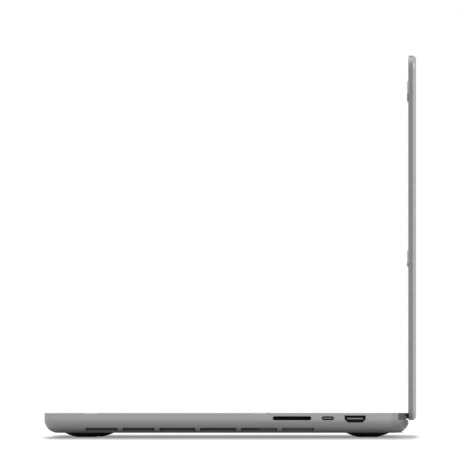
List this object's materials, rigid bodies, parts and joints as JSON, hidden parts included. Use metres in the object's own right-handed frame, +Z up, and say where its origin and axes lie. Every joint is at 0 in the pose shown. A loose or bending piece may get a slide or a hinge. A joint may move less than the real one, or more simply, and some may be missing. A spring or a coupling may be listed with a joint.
{
  "type": "laptop computer",
  "caption": "Slim clamshell laptop: machined metal case, keyboard, click pad, black screen lid on a friction hinge, side ports and domed feet.",
  "frame": {"origin": "on the surface that the feet stand on, below the middle of the object's box with the lid upright", "axes": "+X to the user's right, +Y from the front edge to the rear, +Z up; the screen faces -Y"},
  "size_m": [0.3556, 0.2528, 0.2596],
  "materials": {
    "case_metal": "bead-blasted, anodised grey",
    "cover_metal": "bead-blasted, anodised grey",
    "lid_metal": "bead-blasted, anodised grey",
    "foot_rubber": "matt",
    "screw_steel": "dark plated",
    "pad_plastic": "matt",
    "web_metal": "matt black anodised",
    "plate_steel": "rolled",
    "dome_rubber": "translucent, matt",
    "bracket_steel": "pressed",
    "switch_metal": "plain",
    "circuit_board": "solder mask",
    "chip": "matt",
    "copper": "bare copper",
    "fan_plastic": "moulded",
    "cell_wrap": "matt film",
    "speaker_plastic": "moulded",
    "grille_metal": "drilled, anodised grey",
    "port_steel": "plated",
    "port_plastic": "moulded",
    "hinge_steel": "satin",
    "hinge_plastic": "fine texture",
    "key_plastic": "fine matt",
    "touch_glass": "etched matt glass",
    "screen_glass": "gloss black with the screen off",
    "seal_rubber": "matt",
    "panel": "matt",
    "lens": "gloss"
  },
  "bodies": {
    "case": {"top_case": "case_metal", "bottom_cover": "cover_metal", "rubber_feet": "foot_rubber", "bottom_screws": "screw_steel", "deck_stop_pads": "pad_plastic", "keyboard_frame": "web_metal", "keyboard_plate": "plate_steel", "key_domes": "dome_rubber", "trackpad_bracket": "bracket_steel", "trackpad_switch": "switch_metal", "logic_board": "circuit_board", "processor": "chip", "memory_chips": "chip", "heat_sink": "copper", "left_fan_housing": "fan_plastic", "right_fan_housing": "fan_plastic", "battery_cells": "cell_wrap", "left_speaker": "speaker_plastic", "right_speaker": "speaker_plastic", "speaker_grilles": "grille_metal", "sd_card_reader": "port_plastic", "usb_c_ports": "port_steel", "hdmi_port": "port_steel", "headphone_jack": "port_plastic", "power_inlet": "port_steel", "hinge_brackets": "hinge_steel", "hinge_pins": "hinge_steel", "hinge_cover": "hinge_plastic", "exhaust_grille": "port_plastic"},
    "lid": {"lid_shell": "lid_metal", "display_panel": "panel", "display_glass": "screen_glass", "display_gasket": "seal_rubber", "chin_strip": "hinge_plastic", "camera_module": "lens", "hinge_arms": "hinge_steel", "lid_stop_pads": "pad_plastic"},
    "left_fan_rotor": {"left_fan_rotor": "fan_plastic"},
    "right_fan_rotor": {"right_fan_rotor": "fan_plastic"},
    "trackpad": {"trackpad": "touch_glass"},
    "power_button": {"power_button": "key_plastic"},
    "escape_key": {"escape_key": "key_plastic"},
    "function_keys": {"function_keys": "key_plastic"},
    "number_keys": {"number_keys": "key_plastic"},
    "delete_key": {"delete_key": "key_plastic"},
    "tab_key": {"tab_key": "key_plastic"},
    "upper_letter_keys": {"upper_letter_keys": "key_plastic"},
    "caps_lock_key": {"caps_lock_key": "key_plastic"},
    "home_letter_keys": {"home_letter_keys": "key_plastic"},
    "return_key": {"return_key": "key_plastic"},
    "left_shift_key": {"left_shift_key": "key_plastic"},
    "lower_letter_keys": {"lower_letter_keys": "key_plastic"},
    "right_shift_key": {"right_shift_key": "key_plastic"},
    "left_modifier_keys": {"left_modifier_keys": "key_plastic"},
    "space_bar": {"space_bar": "key_plastic"},
    "right_modifier_keys": {"right_modifier_keys": "key_plastic"},
    "left_arrow_key": {"left_arrow_key": "key_plastic"},
    "right_arrow_key": {"right_arrow_key": "key_plastic"},
    "up_arrow_key": {"up_arrow_key": "key_plastic"},
    "down_arrow_key": {"down_arrow_key": "key_plastic"}
  },
  "joints": [
    {"name": "lid_hinge", "type": "hinge", "parent": "case", "child": "lid", "pos_m": [0, 0.1185, 0.0147], "axis": [-1, 0, 0], "range_deg": [-90, 35]},
    {"name": "left_fan_spin", "type": "hinge", "parent": "case", "child": "left_fan_rotor", "pos_m": [-0.095, 0.0697, 0.0057], "axis": [0, 0, 1], "continuous": true},
    {"name": "right_fan_spin", "type": "hinge", "parent": "case", "child": "right_fan_rotor", "pos_m": [0.095, 0.0697, 0.0057], "axis": [0, 0, 1], "continuous": true},
    {"name": "trackpad_click", "type": "hinge", "parent": "case", "child": "trackpad", "pos_m": [0, -0.0234, 0.01433], "axis": [1, 0, 0], "range_deg": [0, 0.179], "stiffness_Nm_per_rad": 20, "springref_deg": -0.17},
    {"name": "power_button_press", "type": "slide", "parent": "case", "child": "power_button", "axis": [0, 0, -1], "range_m": [0, 0.001], "stiffness_N_per_m": 600, "springref_m": -0.001},
    {"name": "escape_key_press", "type": "slide", "parent": "case", "child": "escape_key", "axis": [0, 0, -1], "range_m": [0, 0.001], "stiffness_N_per_m": 600, "springref_m": -0.001},
    {"name": "function_keys_press", "type": "slide", "parent": "case", "child": "function_keys", "axis": [0, 0, -1], "range_m": [0, 0.001], "stiffness_N_per_m": 600, "springref_m": -0.001},
    {"name": "number_keys_press", "type": "slide", "parent": "case", "child": "number_keys", "axis": [0, 0, -1], "range_m": [0, 0.001], "stiffness_N_per_m": 600, "springref_m": -0.001},
    {"name": "delete_key_press", "type": "slide", "parent": "case", "child": "delete_key", "axis": [0, 0, -1], "range_m": [0, 0.001], "stiffness_N_per_m": 600, "springref_m": -0.001},
    {"name": "tab_key_press", "type": "slide", "parent": "case", "child": "tab_key", "axis": [0, 0, -1], "range_m": [0, 0.001], "stiffness_N_per_m": 600, "springref_m": -0.001},
    {"name": "upper_letter_keys_press", "type": "slide", "parent": "case", "child": "upper_letter_keys", "axis": [0, 0, -1], "range_m": [0, 0.001], "stiffness_N_per_m": 600, "springref_m": -0.001},
    {"name": "caps_lock_key_press", "type": "slide", "parent": "case", "child": "caps_lock_key", "axis": [0, 0, -1], "range_m": [0, 0.001], "stiffness_N_per_m": 600, "springref_m": -0.001},
    {"name": "home_letter_keys_press", "type": "slide", "parent": "case", "child": "home_letter_keys", "axis": [0, 0, -1], "range_m": [0, 0.001], "stiffness_N_per_m": 600, "springref_m": -0.001},
    {"name": "return_key_press", "type": "slide", "parent": "case", "child": "return_key", "axis": [0, 0, -1], "range_m": [0, 0.001], "stiffness_N_per_m": 600, "springref_m": -0.001},
    {"name": "left_shift_key_press", "type": "slide", "parent": "case", "child": "left_shift_key", "axis": [0, 0, -1], "range_m": [0, 0.001], "stiffness_N_per_m": 600, "springref_m": -0.001},
    {"name": "lower_letter_keys_press", "type": "slide", "parent": "case", "child": "lower_letter_keys", "axis": [0, 0, -1], "range_m": [0, 0.001], "stiffness_N_per_m": 600, "springref_m": -0.001},
    {"name": "right_shift_key_press", "type": "slide", "parent": "case", "child": "right_shift_key", "axis": [0, 0, -1], "range_m": [0, 0.001], "stiffness_N_per_m": 600, "springref_m": -0.001},
    {"name": "left_modifier_keys_press", "type": "slide", "parent": "case", "child": "left_modifier_keys", "axis": [0, 0, -1], "range_m": [0, 0.001], "stiffness_N_per_m": 600, "springref_m": -0.001},
    {"name": "space_bar_press", "type": "slide", "parent": "case", "child": "space_bar", "axis": [0, 0, -1], "range_m": [0, 0.001], "stiffness_N_per_m": 600, "springref_m": -0.001},
    {"name": "right_modifier_keys_press", "type": "slide", "parent": "case", "child": "right_modifier_keys", "axis": [0, 0, -1], "range_m": [0, 0.001], "stiffness_N_per_m": 600, "springref_m": -0.001},
    {"name": "left_arrow_key_press", "type": "slide", "parent": "case", "child": "left_arrow_key", "axis": [0, 0, -1], "range_m": [0, 0.001], "stiffness_N_per_m": 600, "springref_m": -0.001},
    {"name": "right_arrow_key_press", "type": "slide", "parent": "case", "child": "right_arrow_key", "axis": [0, 0, -1], "range_m": [0, 0.001], "stiffness_N_per_m": 600, "springref_m": -0.001},
    {"name": "up_arrow_key_press", "type": "slide", "parent": "case", "child": "up_arrow_key", "axis": [0, 0, -1], "range_m": [0, 0.001], "stiffness_N_per_m": 600, "springref_m": -0.001},
    {"name": "down_arrow_key_press", "type": "slide", "parent": "case", "child": "down_arrow_key", "axis": [0, 0, -1], "range_m": [0, 0.001], "stiffness_N_per_m": 600, "springref_m": -0.001}
  ]
}
